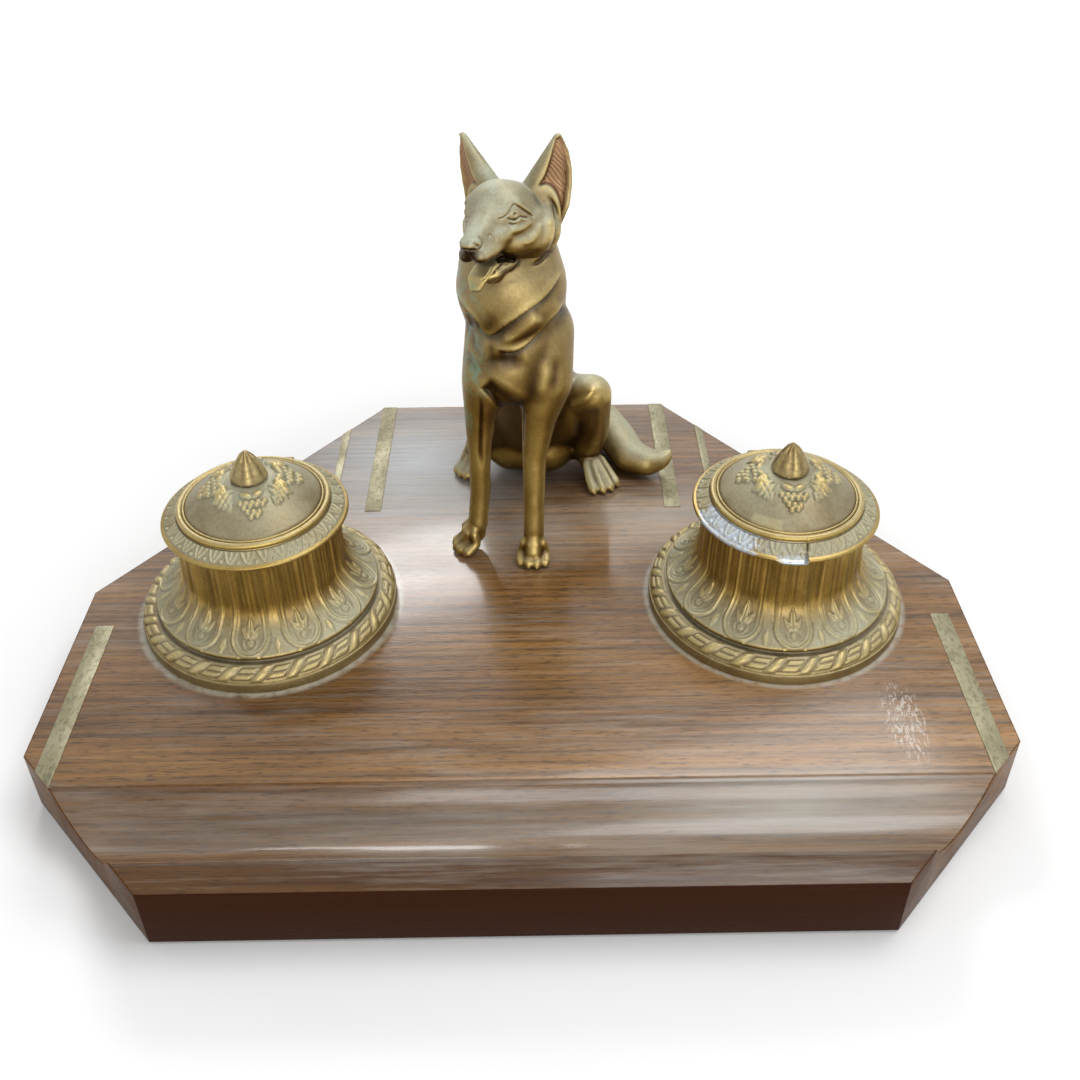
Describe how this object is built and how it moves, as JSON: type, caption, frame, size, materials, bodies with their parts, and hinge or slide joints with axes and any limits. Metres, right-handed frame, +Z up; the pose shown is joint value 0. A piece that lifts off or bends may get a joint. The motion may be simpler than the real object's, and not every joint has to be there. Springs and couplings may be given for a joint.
{
  "type": "desk inkstand",
  "caption": "Wooden desk inkstand with a pen groove, inlaid brass strips, domed hinged inkwells and a seated cast dog between them.",
  "frame": {"origin": "on the surface it rests on, under the middle of the board", "axes": "+X along the board to the viewer's right, +Y to the back, +Z up; the pen groove is at -Y"},
  "size_m": [0.32, 0.259, 0.1842],
  "materials": {
    "board_wood": "worn varnish",
    "baize_cloth": "felted",
    "strip_brass": "tarnished",
    "gilt_spelter": "worn gilt patina",
    "liner_glass": "clear",
    "pin_steel": "dull"
  },
  "bodies": {
    "stand": {"base_board": "board_wood", "baize": "baize_cloth", "outer_left_strip": "strip_brass", "outer_right_strip": "strip_brass", "rear_left_strip": "strip_brass", "rear_right_strip": "strip_brass", "thin_left_strip": "strip_brass", "thin_right_strip": "strip_brass", "left_well": "gilt_spelter", "right_well": "gilt_spelter", "left_liner": "liner_glass", "right_liner": "liner_glass", "left_hinge_pin": "pin_steel", "right_hinge_pin": "pin_steel", "left_well_bolt": "pin_steel", "right_well_bolt": "pin_steel", "left_well_washer": "strip_brass", "right_well_washer": "strip_brass", "dog": "gilt_spelter", "dog_front_bolt": "pin_steel", "dog_rear_bolt": "pin_steel", "dog_front_washer": "strip_brass", "dog_rear_washer": "strip_brass"},
    "left_lid_swing": {"left_lid": "gilt_spelter", "left_finial": "gilt_spelter"},
    "right_lid_swing": {"right_lid": "gilt_spelter", "right_finial": "gilt_spelter"}
  },
  "joints": [
    {"name": "left_lid_hinge", "type": "hinge", "parent": "stand", "child": "left_lid_swing", "pos_m": [-0.0923, 0.0302, 0.0621], "axis": [-1, 0, 0], "range_deg": [0, 100]},
    {"name": "right_lid_hinge", "type": "hinge", "parent": "stand", "child": "right_lid_swing", "pos_m": [0.0923, 0.0302, 0.0621], "axis": [-1, 0, 0], "range_deg": [0, 100]}
  ]
}
